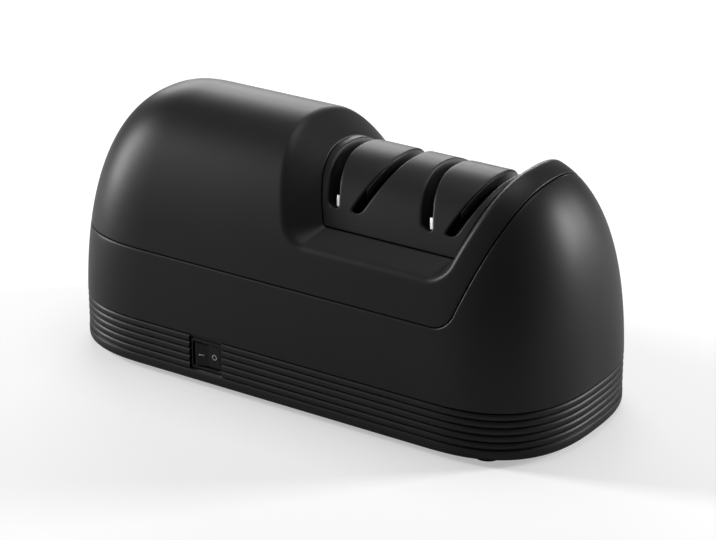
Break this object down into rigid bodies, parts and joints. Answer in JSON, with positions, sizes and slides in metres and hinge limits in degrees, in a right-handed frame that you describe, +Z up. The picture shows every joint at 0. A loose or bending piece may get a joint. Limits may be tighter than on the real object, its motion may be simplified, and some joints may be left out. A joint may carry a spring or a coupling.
{
  "type": "electric knife sharpener",
  "caption": "Free-standing electric knife sharpener: domed housing, arched guide with slanted slots over sprung grinding discs on a motor-driven spindle, and a rocker switch.",
  "frame": {"origin": "middle of the footprint, on the plane that the feet stand on", "axes": "+X along the housing towards the end with the slots, the switch on the -Y side, +Z up"},
  "size_m": [0.225, 0.0984, 0.105],
  "materials": {
    "housing_plastic": "moulded satin black with a fine even grain",
    "base_plastic": "moulded matt black, ribbed",
    "guide_plastic": "moulded black with a low sheen",
    "switch_plastic": "smooth black",
    "foot_rubber": "soft black",
    "spring_steel": "bright spring steel",
    "screw_steel": "zinc plated",
    "spindle_steel": "ground steel",
    "plated_steel": "zinc-plated sheet",
    "core_steel": "stacked laminations",
    "frame_casting": "die cast, unpainted",
    "bush_bronze": "sintered bronze",
    "terminal_brass": "plain tabs",
    "winding_copper": "enamelled copper",
    "magnet_ferrite": "dull dark grey",
    "coarse_abrasive": "coarse grit bonded to steel",
    "fine_abrasive": "fine grit bonded to steel",
    "inner_plastic": "plain black",
    "fan_plastic": "natural nylon",
    "coupling_rubber": "firm black",
    "board_laminate": "green laminate",
    "capacitor_sleeve": "blue sleeve",
    "fuse_glass": "glass tube",
    "lead_sleeve": "insulated wire"
  },
  "bodies": {
    "root": {"base_tray": "base_plastic", "lower_housing": "housing_plastic", "upper_cover": "housing_plastic", "guide_cover": "guide_plastic", "blade_springs": "spring_steel", "rubber_feet": "foot_rubber", "switch_body": "switch_plastic", "switch_terminals": "terminal_brass", "base_screws": "screw_steel", "cover_screws": "screw_steel", "guide_screws": "screw_steel", "mount_screws": "screw_steel", "strap_screws": "screw_steel", "board_screws": "screw_steel", "spindle_frame": "frame_casting", "spindle_bush_left": "bush_bronze", "spindle_bush_right": "bush_bronze", "motor_cradle": "inner_plastic", "motor_strap": "plated_steel", "motor_can": "plated_steel", "motor_end_cap": "inner_plastic", "motor_magnets": "magnet_ferrite", "motor_brushes": "magnet_ferrite", "brush_springs": "spring_steel", "motor_bush_front": "bush_bronze", "motor_bush_rear": "bush_bronze", "circuit_board": "board_laminate", "bridge_rectifier": "inner_plastic", "smoothing_capacitor": "capacitor_sleeve", "choke_coil": "winding_copper", "board_fuse": "fuse_glass", "cord_gland": "foot_rubber", "gland_nut": "inner_plastic", "switch_leads": "lead_sleeve", "motor_leads": "lead_sleeve"},
    "spindle_shaft": {"armature_core": "core_steel", "armature_windings": "winding_copper", "commutator": "winding_copper", "motor_shaft": "spindle_steel", "cooling_fan": "fan_plastic", "coupling": "coupling_rubber", "spindle": "spindle_steel", "disc_clips": "spring_steel", "coarse_spring": "spring_steel", "fine_spring": "spring_steel"},
    "coarse_disc_left": {"coarse_disc_left": "coarse_abrasive"},
    "coarse_disc_right": {"coarse_disc_right": "coarse_abrasive"},
    "fine_disc_left": {"fine_disc_left": "fine_abrasive"},
    "fine_disc_right": {"fine_disc_right": "fine_abrasive"},
    "rocker": {"rocker": "switch_plastic"}
  },
  "joints": [
    {"name": "spindle_spin", "type": "hinge", "parent": "root", "child": "spindle_shaft", "pos_m": [0, 0, 0.0582], "axis": [1, 0, 0], "continuous": true},
    {"name": "coarse_disc_left_slide", "type": "slide", "parent": "spindle_shaft", "child": "coarse_disc_left", "axis": [1, 0, 0], "range_m": [0, 0.0008], "stiffness_N_per_m": 400, "deforming": ["coarse_spring"]},
    {"name": "coarse_disc_right_slide", "type": "slide", "parent": "spindle_shaft", "child": "coarse_disc_right", "axis": [-1, 0, 0], "range_m": [0, 0.0008], "stiffness_N_per_m": 400, "deforming": ["coarse_spring"]},
    {"name": "fine_disc_left_slide", "type": "slide", "parent": "spindle_shaft", "child": "fine_disc_left", "axis": [1, 0, 0], "range_m": [0, 0.0008], "stiffness_N_per_m": 400, "deforming": ["fine_spring"]},
    {"name": "fine_disc_right_slide", "type": "slide", "parent": "spindle_shaft", "child": "fine_disc_right", "axis": [-1, 0, 0], "range_m": [0, 0.0008], "stiffness_N_per_m": 400, "deforming": ["fine_spring"]},
    {"name": "rocker_tilt", "type": "hinge", "parent": "root", "child": "rocker", "pos_m": [-0.0344, -0.0434, 0.0136], "axis": [0, 0, -1], "range_deg": [0, 14]}
  ]
}
